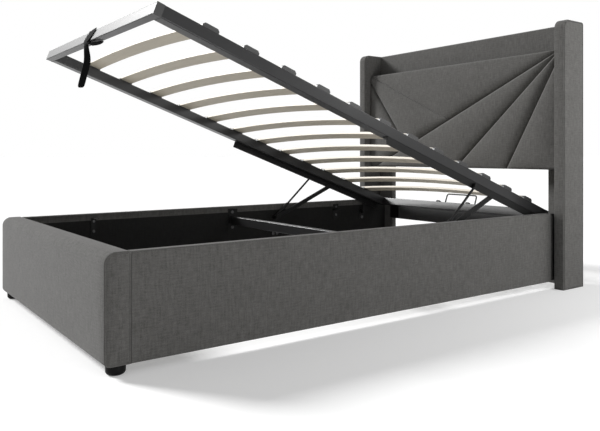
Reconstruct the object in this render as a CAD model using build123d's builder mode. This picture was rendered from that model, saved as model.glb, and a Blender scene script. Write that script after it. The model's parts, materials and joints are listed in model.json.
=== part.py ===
"""Ottoman storage bed with its slatted platform raised.

Millimetres. Z is up, Y runs along the bed towards the headboard and X across it. The origin
is on the floor under the middle of the whole bed. Every piece stands in the raised pose.
"""

from build123d import *
from math import asin, atan2, cos, degrees, hypot, radians, sin
import os

os.makedirs("parts", exist_ok=True)

# The whole bed
bed_length = 2107.4
bed_height = 1180
box_width = 1256
box_top = 330
box_underside = 27
board_thickness = 18
lining_thickness = 2
turned_fabric = 30
bolt_gap = 0.2
seat_gap = 0.3
dome_share = 0.6

# Footboard and side rails
footboard_depth = 73.6
footboard_rise = 1.5
footboard_padding = 26
footboard_end_padding = 12
footboard_top_padding = 12
footboard_top_radius = 32
footboard_back_radius = 4
footboard_bottom_radius = 18
footboard_corner_radius = 9
rail_padding = 11
rail_top_padding = 4
rail_edge_radius = 7
rail_end_radius = 22
rail_cover_tuck = 22
core_lift = 3

# Feet under the footboard
foot_radius = 27
foot_floor_rounding = 12
foot_inset = 29
foot_setback = 40

# Headboard, wings and legs
wing_thickness = 48
wing_depth = 153.4
wing_gap = 18.5
wing_corner_radius = 38
wing_edge_radius = 12
headboard_thickness = 27
headboard_edge_radius = 9
pad_underside = 520
board_above_pad = 122
leg_width = 111.5
leg_depth = 32
leg_setback = 5

# Sewn sunburst of the headboard pad, as shares of its width and height
long_ray_foot_share = 0.0336
middle_ray_foot_share = 0.5217
short_ray_foot_share = 0.772
short_ray_head_share = 0.961
upper_branch_share = 0.483
lower_branch_share = 0.237
lower_branch_head_share = 0.922
tip_share = 0.045
edge_share = 0.05
seam_gap = 2
pad_clearance = 1.5
panel_side = 66
panel_edge = 52
panel_crown = 19
panel_edge_crown = 10
crown_share = 0.3

# Beam between the legs
beam_height = 75
beam_depth = 25
beam_below_top = 112
plate_thickness = 3
beam_plate_overlap = 13
beam_plate_width = 68
beam_plate_height = 70

# Crossbar of the box
crossbar_share = 0.4897
crossbar_depth = 28
crossbar_height = 40
crossbar_gap = 3
crossbar_wall = 2
crossbar_plate_width = 51
crossbar_plate_height = 109
crossbar_plate_rise = 38
crossbar_bolt_drop = 17
crossbar_bolt_setback = 22

# Domed bolts and screws
bolt_radius = 4
bolt_head_radius = 8
bolt_head_height = 4
bolt_grip = 18
screw_radius = 2.5
screw_head_radius = 6
screw_head_height = 3
screw_grip = 12
headboard_bolt_grip = 42
headboard_bolt_low = 120
headboard_bolt_spacing = 120

# Brackets in the box
foot_rest_from_foot = 347
foot_rest_width = 22
head_rest_from_head = 427.4
head_rest_width = 36
rest_reach = 42
rest_height = 81
rest_screw_drop = 15
rest_screw_spacing = 44
corner_bracket_leg = 40
corner_bracket_headroom = 40
corner_bracket_underside = 60
corner_screw_inset = 35
corner_hole_share = 0.6
lift_bracket_width = 42
lift_bracket_height = 128
lift_bracket_radius = 8
lift_bracket_rise = 15
lift_bracket_shift = 5
lift_bracket_bolt_height = 28
lift_bracket_bolt_spacing = 24

# Raised platform
platform_foot_gap = 7
platform_head_gap = 9.8
platform_sink = 18
tube_height = 40
side_tube_width = 50
end_tube_width = 25.5
tube_wall = 1.5
tube_corner_radius = 3
plug_flange = 2
plug_depth = 12
open_tilt = 20.5
angle_start = 26
angle_length = 1004
angle_drop = 29
angle_width = 28

# Slats and their caps
slat_count = 12
slat_width = 53
slat_thickness = 9
slat_bow = 20
slat_seat = 2
slat_inset = 12
head_slat_inset = 160
foot_slat_inset = 178.8
cap_length = 58
cap_width = 40
cap_inset = 4
cap_height = 14
cap_slope = 7

# Lift mechanism
arm_pivot_drop = 50
arm_length = 380.2
arm_tilt = 24.1
arm_pivot_on_frame = 392
pivot_drop = 15.5
arm_width = 21
arm_thickness = 5
arm_web = 2.5
arm_rim = 3
pin_radius = 5
pin_head_radius = 8
pin_head_height = 2.5
pin_gap = 0.05
side_gap = 0.5
strut_gap = 1
strut_plate_gap = 3
strut_eye_radius = 10
strut_eye_width = 12
strut_pivot_on_frame = 525.6
cylinder_radius = 9
cylinder_length = 101
cylinder_start = 8
cylinder_end_wall = 6
rod_radius = 5
rod_end_gap = 3.3
cylinder_round_share = 0.2
collar_radius = 7.5
link_pivot_on_frame = 120
link_pivot_drop = 10
link_length = 69.4
link_width = 18
link_thickness = 5
link_gap = 5
rear_bracket_width = 36
rear_bracket_height = 56
rear_bracket_bolt_height = 10

# Mattress retainer on the head tube
wire_radius = 3.5
wire_left = -54
wire_span = 200
wire_rise = 48
wire_bend = 12
stop_width = 26
stop_depth = 12
stop_height = 10
stop_left = -105
stop_span = 204
stop_round_share = 0.8

# Pull strap on the foot tube
strap_middle = -20
strap_width = 25
strap_thickness = 2
knot_width = 46
knot_depth = 14
knot_height = 26
knot_rise = 21
bow_width = 60
bow_depth_share = 0.6
tail_length = 150
tail_twist = 25
tail_shift = 4

# Places worked out from the sizes
foot_face = -bed_length / 2
head_face = bed_length / 2
foot_inner = foot_face + footboard_depth
half_box = box_width / 2
rail_thickness = rail_padding + board_thickness + lining_thickness
half_inside = half_box - rail_thickness
lined_half = half_inside + lining_thickness
core_half = lined_half + board_thickness
half_pad = half_box + wing_gap
leg_back = head_face - leg_setback
leg_front = leg_back - leg_depth
lining_top = box_top - turned_fabric
plate_face = half_inside - plate_thickness
half_platform = plate_face - strut_plate_gap - 2 * cylinder_radius - strut_gap
platform_length = leg_front - foot_inner - platform_foot_gap - platform_head_gap
closed_underside = box_top - platform_sink
closed_head_end = leg_front - platform_head_gap
crossbar_front = foot_face + crossbar_share * bed_length
crossbar_underside = closed_underside - angle_drop - crossbar_gap - crossbar_height
crossbar_plate_top = crossbar_underside + crossbar_height + crossbar_plate_rise
crossbar_plate_underside = crossbar_plate_top - crossbar_plate_height
beam_underside = box_top - beam_below_top
pad_height = bed_height - board_above_pad - pad_underside
corner_bracket_height = lining_top - corner_bracket_headroom - corner_bracket_underside
sides = (-1, 1)
side_names = {-1: "left", 1: "right"}


def away(start, distance, angle):
    """The point in the YZ plane at this distance and angle from another one."""
    return (start[0] + distance * cos(radians(angle)), start[1] + distance * sin(radians(angle)))


def gap_between(one, other):
    return hypot(other[0] - one[0], other[1] - one[1])


def direction(one, other):
    return degrees(atan2(other[1] - one[1], other[0] - one[0]))


# The arms reach from the rails to the frame. Closed, the frame lies just below the box's top.
closed_frame_pivot = (closed_head_end - arm_pivot_on_frame, closed_underside - pivot_drop)
closed_arm_tilt = degrees(asin((arm_pivot_drop - pivot_drop) / arm_length))
arm_pivot = away(closed_frame_pivot, -arm_length, closed_arm_tilt)
frame_pivot = away(arm_pivot, arm_length, arm_tilt)
frame_corner = away(away(frame_pivot, arm_pivot_on_frame, -open_tilt), pivot_drop, 90 - open_tilt)


def on_open_frame(along, drop):
    """A point of the raised frame: along it from the head end, and down from its underside."""
    return away(away(frame_corner, along, 180 - open_tilt), drop, -90 - open_tilt)


def on_closed_frame(along, drop):
    return (closed_head_end - along, closed_underside - drop)


strut_top = on_open_frame(strut_pivot_on_frame, pivot_drop)
closed_strut_top = on_closed_frame(strut_pivot_on_frame, pivot_drop)
strut_tilt = direction(arm_pivot, strut_top)
strut_length = gap_between(arm_pivot, strut_top)
strut_stroke = strut_length - gap_between(arm_pivot, closed_strut_top)
link_top = on_open_frame(link_pivot_on_frame, link_pivot_drop)
closed_link_top = on_closed_frame(link_pivot_on_frame, link_pivot_drop)
link_swing = gap_between(link_top, closed_link_top)
link_middle = ((link_top[0] + closed_link_top[0]) / 2, (link_top[1] + closed_link_top[1]) / 2)
link_reach = (link_length**2 - (link_swing / 2) ** 2) ** 0.5
link_pivot = away(link_middle, link_reach, direction(link_top, closed_link_top) - 90)
frame_plane = Plane(
    origin=(0, frame_corner[0], frame_corner[1]),
    x_dir=(1, 0, 0),
    z_dir=(0, sin(radians(open_tilt)), cos(radians(open_tilt))),
)


def span(low, high, mode=Mode.ADD):
    """A block between two opposite corners."""
    length, width, height = (top - bottom for bottom, top in zip(low, high))
    with Locations(tuple(low)):
        Box(length, width, height, align=(Align.MIN, Align.MIN, Align.MIN), mode=mode)


def mirrored_span(side, inner, outer, low, high, mode=Mode.ADD):
    """A block between two distances from the bed's middle, on one side of it."""
    left, right = sorted((side * inner, side * outer))
    span((left, low[0], low[1]), (right, high[0], high[1]), mode)


def crosswise(start, end, centre, radius, mode=Mode.ADD):
    """A round bar along X between two distances, at a point of the YZ plane."""
    with Locations(((start + end) / 2, centre[0], centre[1])):
        Cylinder(radius, abs(end - start), rotation=(0, 90, 0), mode=mode)


def lengthwise(start, end, centre, radius, mode=Mode.ADD):
    """A round bar along Y between two distances, at a point of the XZ plane."""
    with Locations((centre[0], (start + end) / 2, centre[1])):
        Cylinder(radius, abs(end - start), rotation=(90, 0, 0), mode=mode)


def finish(part, name):
    part.label = name
    export_step(part, f"parts/{name}.step")


# Bolt places, shared by the bolts and by the holes that they pass through
crossbar_plate_start = crossbar_front + crossbar_depth / 2 - crossbar_plate_width / 2
crossbar_bolt_y = crossbar_plate_start + crossbar_bolt_setback
crossbar_bolts_at = [
    (crossbar_bolt_y, crossbar_plate_top - crossbar_bolt_drop),
    (crossbar_bolt_y, crossbar_plate_underside + crossbar_bolt_drop),
]
lift_bracket_low = arm_pivot[1] + lift_bracket_rise - lift_bracket_height
lift_bracket_middle = arm_pivot[0] + lift_bracket_shift
lift_bracket_bolts_at = [
    (lift_bracket_middle + side * lift_bracket_bolt_spacing / 2, lift_bracket_low + lift_bracket_bolt_height)
    for side in sides
]
rear_bracket_low = link_pivot[1] + rear_bracket_width / 2 - rear_bracket_height
rear_bracket_bolts_at = [(link_pivot[0], rear_bracket_low + rear_bracket_bolt_height)]
frame_bolts_at = crossbar_bolts_at + lift_bracket_bolts_at + rear_bracket_bolts_at
headboard_bolt_x = lined_half + board_thickness / 2
headboard_bolt_heights = [headboard_bolt_low, headboard_bolt_low + headboard_bolt_spacing]
foot_rest_top = closed_underside - seat_gap
head_rest_top = closed_underside - angle_drop - seat_gap
rests = [
    (foot_face + foot_rest_from_foot, foot_rest_width, foot_rest_top, half_inside - rest_reach),
    (head_face - head_rest_from_head, head_rest_width, head_rest_top, half_platform - plate_thickness),
]
rest_screws_at = [
    (start + width / 2, foot_rest_top - rest_screw_drop - drop)
    for start, width, _, _ in rests
    for drop in (0, rest_screw_spacing)
]
corner_screw_heights = [
    corner_bracket_underside + corner_screw_inset,
    corner_bracket_underside + corner_bracket_height - corner_screw_inset,
]
corner_screw_y = foot_inner + corner_bracket_leg * corner_hole_share


def side_holes(side, depth, inner=half_inside):
    """The holes in one side of the box for every bolt and screw that enters it."""
    for centre in frame_bolts_at:
        crosswise(side * inner, side * (half_inside + depth), centre, bolt_radius + bolt_gap, Mode.SUBTRACT)
    for centre in rest_screws_at + [(corner_screw_y, height) for height in corner_screw_heights]:
        crosswise(side * inner, side * (half_inside + depth), centre, screw_radius + bolt_gap, Mode.SUBTRACT)


# Footboard core, a padded cover round it and a lining that runs on along the rails
core_back = foot_inner - lining_thickness
core_front = foot_face + footboard_padding
footboard_top = box_top + footboard_rise
footboard_core_half = half_box - footboard_end_padding
corner_screw_x = half_inside - corner_bracket_leg * corner_hole_share

with BuildPart() as footboard_core:
    span(
        (-footboard_core_half, core_front, box_underside + core_lift),
        (footboard_core_half, core_back, footboard_top - footboard_top_padding),
    )
    for side in sides:
        for height in corner_screw_heights:
            centre = (side * corner_screw_x, height)
            lengthwise(core_back - screw_grip, core_back, centre, screw_radius + bolt_gap, Mode.SUBTRACT)
finish(footboard_core.part, "footboard_core")

footboard_side_plane = Plane(origin=(0, foot_face, box_underside), x_dir=(0, 1, 0), z_dir=(1, 0, 0))
with BuildPart() as footboard_cover:
    with BuildSketch(footboard_side_plane):
        height = footboard_top - box_underside
        Rectangle(footboard_depth, height, align=(Align.MIN, Align.MIN))
        corners = vertices().sort_by(Axis.X)
        fillet(corners[:2].sort_by(Axis.Y)[-1], footboard_top_radius)
        fillet(vertices().group_by(Axis.X)[-1].sort_by(Axis.Y)[-1], footboard_back_radius)
        fillet(vertices().group_by(Axis.Y)[0].sort_by(Axis.X)[0], footboard_bottom_radius)
    extrude(amount=half_box, both=True)
    fillet(edges().filter_by(Axis.Z).group_by(Axis.Y)[0], footboard_corner_radius)
    span(
        (-footboard_core_half, core_front, box_underside),
        (footboard_core_half, core_back, footboard_top - footboard_top_padding),
        Mode.SUBTRACT,
    )
    span(
        (-lined_half, core_back - seat_gap, box_underside),
        (lined_half, foot_inner, lining_top),
        Mode.SUBTRACT,
    )
finish(footboard_cover.part, "footboard_cover")

lining_end = leg_front - plate_thickness - lining_thickness
with BuildPart() as box_lining:
    span((-lined_half, core_back, box_underside), (lined_half, foot_inner, lining_top))
    for side in sides:
        mirrored_span(side, half_inside, lined_half, (core_back, box_underside), (lining_end, lining_top))
        side_holes(side, lining_thickness)
        for height in corner_screw_heights:
            centre = (side * corner_screw_x, height)
            lengthwise(core_back, foot_inner, centre, screw_radius + bolt_gap, Mode.SUBTRACT)
finish(box_lining.part, "box_lining")


def side_rail(side):
    """The board inside a side rail, from the footboard to the headboard's leg."""
    with BuildPart() as rail:
        low = (foot_inner, box_underside + core_lift)
        high = (leg_front, box_top - rail_top_padding)
        mirrored_span(side, lined_half, core_half, low, high)
        side_holes(side, bolt_grip)
        for height in headboard_bolt_heights:
            centre = (side * headboard_bolt_x, height)
            hole = bolt_radius + bolt_gap
            lengthwise(leg_front - headboard_bolt_grip, leg_front, centre, hole, Mode.SUBTRACT)
    return rail.part


def rail_cover(side):
    """Padding outside the rail, turned over its top and a little way down inside."""
    cover_end = head_face - wing_depth + rail_cover_tuck
    with BuildPart() as cover:
        mirrored_span(side, core_half, half_box, (foot_inner, box_underside), (cover_end, box_top))
        fillet(edges().filter_by(Axis.X).group_by(Axis.Y)[-1], rail_end_radius)
        outer_top = edges().filter_by(Axis.Y).group_by(Axis.Z)[-1].sort_by(Axis.X)
        fillet(outer_top[-1] if side > 0 else outer_top[0], rail_edge_radius)
        low = (foot_inner, box_top - rail_top_padding)
        mirrored_span(side, half_inside, core_half, low, (lining_end, box_top))
        mirrored_span(side, half_inside, lined_half, (foot_inner, lining_top), (lining_end, box_top))
        side_holes(side, lining_thickness)
    return cover.part


for side in sides:
    finish(side_rail(side), f"{side_names[side]}_side_rail")
    finish(rail_cover(side), f"{side_names[side]}_rail_cover")

# Round feet at the foot end
with BuildPart() as front_feet:
    for side in sides:
        with Locations((side * (half_box - foot_inset), foot_face + foot_setback, 0)):
            Cylinder(foot_radius, box_underside, align=(Align.CENTER, Align.CENTER, Align.MIN))
    fillet(edges().filter_by(GeomType.CIRCLE).group_by(Axis.Z)[0], foot_floor_rounding)
finish(front_feet.part, "front_feet")

# Headboard: a board between two wings, on two legs
with BuildPart() as headboard_board:
    span((-half_pad, head_face - headboard_thickness, pad_underside), (half_pad, head_face, bed_height))
    fillet(edges().filter_by(Axis.X).group_by(Axis.Z)[-1], headboard_edge_radius)
finish(headboard_board.part, "headboard_board")

with BuildPart() as headboard_legs:
    for side in sides:
        mirrored_span(side, half_pad - leg_width, half_pad, (leg_front, 0), (leg_back, pad_underside))
        for height in headboard_bolt_heights:
            centre = (side * headboard_bolt_x, height)
            lengthwise(leg_front, leg_back, centre, bolt_radius + bolt_gap, Mode.SUBTRACT)
finish(headboard_legs.part, "headboard_legs")


def wing(side):
    with BuildPart() as panel:
        low = (head_face - wing_depth, 0)
        mirrored_span(side, half_pad, half_pad + wing_thickness, low, (head_face, bed_height))
        front_top = edges().filter_by(Axis.X).group_by(Axis.Z)[-1].sort_by(Axis.Y)[0]
        fillet(front_top, wing_corner_radius)
        outer_edges = edges().filter_by(Axis.Z).group_by(Axis.X)
        fillet(outer_edges[-1] if side > 0 else outer_edges[0], wing_edge_radius)
    return panel.part


for side in sides:
    finish(wing(side), f"{side_names[side]}_wing")

# The pad is six sewn panels that fan out from its upper right corner
pad_width = 2 * half_pad - 2 * pad_clearance
pad_back = head_face - headboard_thickness


def on_long_ray(share):
    """The point of the longest ray at this share of the pad's width."""
    return (share, (share - long_ray_foot_share) / (1 - long_ray_foot_share))


upper_branch = on_long_ray(upper_branch_share)
lower_branch = on_long_ray(lower_branch_share)
branch_height_share = lower_branch[1]
panel_sides = {
    "pad_panel_top": (
        [(0, 1), (upper_branch_share, 1), (1, 1)],
        [(0, 1), upper_branch, (1, 1)],
    ),
    "pad_panel_upper_left": (
        [(0, 1), upper_branch],
        [(0, lower_branch_head_share), lower_branch],
    ),
    "pad_panel_lower_left": (
        [(0, lower_branch_head_share), (0, branch_height_share), (0, 0)],
        [(0, lower_branch_head_share), lower_branch, (long_ray_foot_share, 0)],
    ),
    "pad_panel_middle": (
        [(1, 1), (long_ray_foot_share, 0)],
        [(1, 1), (middle_ray_foot_share, 0)],
    ),
    "pad_panel_lower_right": (
        [(1, 1), (middle_ray_foot_share, 0)],
        [(1, short_ray_head_share), (short_ray_foot_share, 0)],
    ),
    "pad_panel_right": (
        [(1, short_ray_head_share), (short_ray_foot_share, 0)],
        [(1, short_ray_head_share), (1, 0)],
    ),
}


def between(one, other, share):
    return (one[0] + (other[0] - one[0]) * share, one[1] + (other[1] - one[1]) * share)


def pad_stations(one_side, other_side):
    """Pairs of points across a panel, each with whether the panel is full there."""
    pairs = list(zip(one_side, other_side))
    first, second, before_last, last = pairs[0], pairs[1], pairs[-2], pairs[-1]
    start_tip = tip_share if first[0] == first[1] else 0
    end_tip = tip_share if last[0] == last[1] else 0
    places = [(first, second, start_tip, False), (first, second, start_tip + edge_share, True)]
    places += [(pair, pair, 0, True) for pair in pairs[1:-1]]
    places += [(last, before_last, end_tip + edge_share, True), (last, before_last, end_tip, False)]
    return [
        (between(one[0], other[0], share), between(one[1], other[1], share), full)
        for one, other, share, full in places
    ]


def pad_place(point):
    """From shares of the pad to X and Z."""
    across = pad_clearance - half_pad + point[0] * pad_width
    up = pad_underside + pad_clearance + point[1] * (pad_height - 2 * pad_clearance)
    return Vector(across, pad_back, up)


def pad_panel(one_side, other_side):
    """A closed cushion, swollen along its middle and drawn in at its sides and ends."""
    with BuildPart() as panel:
        for one, other, full in pad_stations(one_side, other_side):
            start, end = pad_place(one), pad_place(other)
            width = (end - start).length - 2 * seam_gap
            across = (end - start).normalized()
            rise = min(panel_crown if full else panel_edge_crown, crown_share * width)
            side_height = panel_side if full else panel_edge
            normal = across.cross(Vector(0, -1, 0))
            with BuildSketch(Plane(origin=start + across * seam_gap, x_dir=across, z_dir=normal)):
                with BuildLine():
                    Polyline((0, side_height), (0, 0), (width, 0), (width, side_height))
                    ThreePointArc((width, side_height), (width / 2, side_height + rise), (0, side_height))
                make_face()
        loft(ruled=True)
    return panel.part


for name, (one_side, other_side) in panel_sides.items():
    finish(pad_panel(one_side, other_side), name)

# Beam between the legs, with a steel plate at each end
with BuildPart() as head_beam:
    beam_half = half_pad - leg_width
    high = (beam_half, leg_front + beam_depth, beam_underside + beam_height)
    span((-beam_half, leg_front, beam_underside), high)
finish(head_beam.part, "head_beam")

with BuildPart() as head_beam_plates:
    for side in sides:
        outer = beam_half + beam_plate_overlap
        low = (leg_front - plate_thickness, beam_underside + plate_thickness)
        high = (leg_front, beam_underside + plate_thickness + beam_plate_height)
        mirrored_span(side, outer - beam_plate_width, outer, low, high)
finish(head_beam_plates.part, "head_beam_plates")

# Crossbar between the rails
with BuildPart() as centre_crossbar:
    low = (-plate_face, crossbar_front, crossbar_underside)
    high = (plate_face, crossbar_front + crossbar_depth, crossbar_underside + crossbar_height)
    span(low, high)
    fillet(edges().filter_by(Axis.X), tube_corner_radius)
    span(
        (low[0], low[1] + crossbar_wall, low[2] + crossbar_wall),
        (high[0], high[1] - crossbar_wall, high[2] - crossbar_wall),
        Mode.SUBTRACT,
    )
finish(centre_crossbar.part, "centre_crossbar")

with BuildPart() as crossbar_end_plates:
    for side in sides:
        low = (crossbar_plate_start, crossbar_plate_underside)
        high = (crossbar_plate_start + crossbar_plate_width, crossbar_plate_top)
        mirrored_span(side, plate_face, half_inside, low, high)
        for centre in crossbar_bolts_at:
            crosswise(side * plate_face, side * half_inside, centre, bolt_radius + bolt_gap, Mode.SUBTRACT)
finish(crossbar_end_plates.part, "crossbar_end_plates")


def dome(side, face, centre, radius, height):
    """A domed head that stands inwards from an upright face."""
    with Locations(Location((side * face, centre[0], centre[1]), (0, -side * 90, 0))):
        Cylinder(radius, height, align=(Align.CENTER, Align.CENTER, Align.MIN))
    tips = edges().filter_by(GeomType.CIRCLE).sort_by(Axis.X)
    fillet(tips[0] if side > 0 else tips[-1], height * dome_share)


def side_fastener(side, centre, shank, head, height, grip):
    """A bolt or screw through a plate and into the rail beside it."""
    with BuildPart() as fastener:
        dome(side, plate_face, centre, head, height)
        crosswise(side * plate_face, side * (half_inside + grip), centre, shank)
    return fastener.part


def end_fastener(side, height):
    """A screw through a corner bracket and into the footboard."""
    bracket_face = foot_inner + plate_thickness
    with BuildPart() as fastener:
        centre = (side * corner_screw_x, height)
        lengthwise(bracket_face, bracket_face + screw_head_height, centre, screw_head_radius)
        outer = edges().filter_by(GeomType.CIRCLE).sort_by(Axis.Y)[-1]
        fillet(outer, screw_head_height * dome_share)
        lengthwise(core_back - screw_grip, bracket_face, centre, screw_radius)
    return fastener.part


def gathered(pieces):
    """Separate solids under one name."""
    with BuildPart() as together:
        add(pieces)
    return together.part


frame_bolts = [
    side_fastener(side, centre, bolt_radius, bolt_head_radius, bolt_head_height, bolt_grip - lining_thickness)
    for side in sides
    for centre in frame_bolts_at
]
finish(gathered(frame_bolts), "frame_bolts")

bracket_screws = [
    side_fastener(side, centre, screw_radius, screw_head_radius, screw_head_height, screw_grip)
    for side in sides
    for centre in rest_screws_at + [(corner_screw_y, height) for height in corner_screw_heights]
]
bracket_screws += [end_fastener(side, height) for side in sides for height in corner_screw_heights]
finish(gathered(bracket_screws), "bracket_screws")

with BuildPart() as headboard_bolts:
    for side in sides:
        for height in headboard_bolt_heights:
            centre = (side * headboard_bolt_x, height)
            lengthwise(leg_front - headboard_bolt_grip + seat_gap, leg_back, centre, bolt_radius)
            lengthwise(leg_back, leg_back + bolt_head_height, centre, bolt_head_radius)
finish(headboard_bolts.part, "headboard_bolts")

# Brackets that carry the closed platform, and those in the foot corners
with BuildPart() as platform_rests:
    for side in sides:
        for start, width, top, shelf_edge in rests:
            low = foot_rest_top - rest_height
            mirrored_span(side, plate_face, half_inside, (start, low), (start + width, foot_rest_top))
            shelf_low = (start, top - plate_thickness)
            mirrored_span(side, shelf_edge, half_inside, shelf_low, (start + width, top))
        for centre in rest_screws_at:
            crosswise(side * plate_face, side * half_inside, centre, screw_radius + bolt_gap, Mode.SUBTRACT)
finish(platform_rests.part, "platform_rests")

with BuildPart() as corner_brackets:
    for side in sides:
        low = corner_bracket_underside
        high = low + corner_bracket_height
        end = foot_inner + corner_bracket_leg
        inner = half_inside - corner_bracket_leg
        mirrored_span(side, plate_face, half_inside, (foot_inner, low), (end, high))
        mirrored_span(side, inner, half_inside, (foot_inner, low), (foot_inner + plate_thickness, high))
        for height in corner_screw_heights:
            hole = screw_radius + bolt_gap
            crosswise(side * plate_face, side * half_inside, (corner_screw_y, height), hole, Mode.SUBTRACT)
            centre = (side * corner_screw_x, height)
            lengthwise(foot_inner, foot_inner + plate_thickness, centre, hole, Mode.SUBTRACT)
finish(corner_brackets.part, "corner_brackets")

# Plates that carry the lift arms, and smaller ones that carry the rear links
with BuildPart() as lift_brackets:
    for side in sides:
        start = lift_bracket_middle - lift_bracket_width / 2
        high = (start + lift_bracket_width, lift_bracket_low + lift_bracket_height)
        mirrored_span(side, plate_face, half_inside, (start, lift_bracket_low), high)
    fillet(edges().filter_by(Axis.X), lift_bracket_radius)
    for side in sides:
        crosswise(side * plate_face, side * half_inside, arm_pivot, pin_radius, Mode.SUBTRACT)
        for centre in lift_bracket_bolts_at:
            crosswise(side * plate_face, side * half_inside, centre, bolt_radius + bolt_gap, Mode.SUBTRACT)
finish(lift_brackets.part, "lift_brackets")

with BuildPart() as rear_link_brackets:
    for side in sides:
        start = link_pivot[0] - rear_bracket_width / 2
        high = (start + rear_bracket_width, rear_bracket_low + rear_bracket_height)
        mirrored_span(side, plate_face, half_inside, (start, rear_bracket_low), high)
    fillet(edges().filter_by(Axis.X), lift_bracket_radius)
    for side in sides:
        crosswise(side * plate_face, side * half_inside, link_pivot, pin_radius, Mode.SUBTRACT)
        for centre in rear_bracket_bolts_at:
            crosswise(side * plate_face, side * half_inside, centre, bolt_radius + bolt_gap, Mode.SUBTRACT)
finish(rear_link_brackets.part, "rear_link_brackets")

# Where the arms, struts and links stand between the rail and the frame
arm_outer = half_platform - plate_thickness - side_gap
arm_inner = arm_outer - arm_thickness
strut_line = half_platform + strut_gap + cylinder_radius
strut_inner = strut_line - strut_eye_width / 2
strut_outer = strut_line + strut_eye_width / 2
link_inner = half_platform + link_gap
link_outer = link_inner + link_thickness

with BuildPart() as base_pivot_pins:
    for side in sides:
        head_start = side * (arm_inner - side_gap - pin_head_height)
        crosswise(head_start, side * half_inside, arm_pivot, pin_radius)
        crosswise(head_start, side * (arm_inner - side_gap), arm_pivot, pin_head_radius)
        crosswise(side * (arm_outer + side_gap), side * (strut_inner - side_gap), arm_pivot, collar_radius)
        crosswise(side * (strut_outer + side_gap), side * plate_face, arm_pivot, collar_radius)
        link_head = side * (link_inner - side_gap - pin_head_height)
        crosswise(link_head, side * half_inside, link_pivot, pin_radius)
        crosswise(link_head, side * (link_inner - side_gap), link_pivot, pin_head_radius)
        crosswise(side * (link_outer + side_gap), side * plate_face, link_pivot, collar_radius)
finish(base_pivot_pins.part, "base_pivot_pins")

# Platform frame: four tubes, the end ones running the whole width with a plug in each end
side_tube_inner = half_platform - side_tube_width
end_tube_half = half_platform - plug_flange
end_tube_starts = (-end_tube_width, -platform_length)


def tube(low, high, along):
    """A hollow tube between two corners of the frame's own plane."""
    with BuildPart(frame_plane) as made:
        span(low, high)
        running = edges().filter_by(Axis(frame_plane.origin, along))
        fillet(running, tube_corner_radius)
        inner_low = list(low)
        inner_high = list(high)
        for axis, vector in enumerate((frame_plane.x_dir, frame_plane.y_dir, frame_plane.z_dir)):
            if vector != along:
                inner_low[axis] += tube_wall
                inner_high[axis] -= tube_wall
        span(inner_low, inner_high, Mode.SUBTRACT)
    return made.part


for side in sides:
    left, right = sorted((side * side_tube_inner, side * half_platform))
    low = (left, end_tube_width - platform_length, 0)
    side_tube = tube(low, (right, -end_tube_width, tube_height), frame_plane.y_dir)
    finish(side_tube, f"platform_{side_names[side]}_tube")
for name, start in zip(("head", "foot"), end_tube_starts):
    high = (end_tube_half, start + end_tube_width, tube_height)
    end_tube = tube((-end_tube_half, start, 0), high, frame_plane.x_dir)
    finish(end_tube, f"platform_{name}_tube")

with BuildPart(frame_plane) as tube_plugs:
    for side in sides:
        for start in end_tube_starts:
            high = (start + end_tube_width, tube_height)
            mirrored_span(side, end_tube_half, half_platform, (start, 0), high)
            wall = tube_wall + bolt_gap
            inner_high = (start + end_tube_width - wall, tube_height - wall)
            mirrored_span(side, end_tube_half - plug_depth, end_tube_half, (start + wall, wall), inner_high)
finish(tube_plugs.part, "tube_plugs")


def frame_angle(side):
    """The steel angle under a side tube that carries the moving pivots."""
    with BuildPart(frame_plane) as angle:
        end = -angle_start - angle_length
        outer, inner = half_platform, half_platform - angle_width
        mirrored_span(side, inner, outer, (end, -plate_thickness), (-angle_start, 0))
        mirrored_span(side, outer - plate_thickness, outer, (end, -angle_drop), (-angle_start, 0))
    with BuildPart() as drilled:
        add(angle.part)
        crosswise(side * inner, side * outer, frame_pivot, pin_radius, Mode.SUBTRACT)
    return drilled.part


for side in sides:
    finish(frame_angle(side), f"{side_names[side]}_frame_angle")

with BuildPart() as frame_pivot_pins:
    for side in sides:
        head_start = side * (arm_inner - side_gap - pin_head_height)
        crosswise(head_start, side * half_platform, frame_pivot, pin_radius)
        crosswise(head_start, side * (arm_inner - side_gap), frame_pivot, pin_head_radius)
finish(frame_pivot_pins.part, "frame_pivot_pins")

# Sprung slats, bowed upwards, each end in a cap on a side tube
slat_half = half_platform - cap_inset - slat_inset
slat_underside = tube_height + slat_seat
slat_pitch = (platform_length - head_slat_inset - foot_slat_inset) / (slat_count - 1)


def slat_plane(index, width):
    """The plane across the frame at the foot side of a strip of this width on a slat."""
    middle = head_slat_inset + index * slat_pitch
    origin = frame_plane.from_local_coords((0, -middle + width / 2, 0))
    return Plane(origin=origin, x_dir=frame_plane.x_dir, z_dir=-frame_plane.y_dir)


def bowed_strip(index, width, clearance):
    """A strip that follows the slat's bow, larger all round by a clearance."""
    low = slat_underside - clearance
    high = slat_underside + slat_thickness + clearance
    with BuildPart() as strip:
        with BuildSketch(slat_plane(index, width + 2 * clearance)):
            with BuildLine():
                ThreePointArc((-slat_half, low), (0, low + slat_bow), (slat_half, low))
                Line((slat_half, low), (slat_half, high))
                ThreePointArc((slat_half, high), (0, high + slat_bow), (-slat_half, high))
                Line((-slat_half, high), (-slat_half, low))
            make_face()
        extrude(amount=width + 2 * clearance)
    return strip.part


for index in range(slat_count):
    finish(bowed_strip(index, slat_width, 0), f"slat_{index + 1:02d}")


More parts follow.
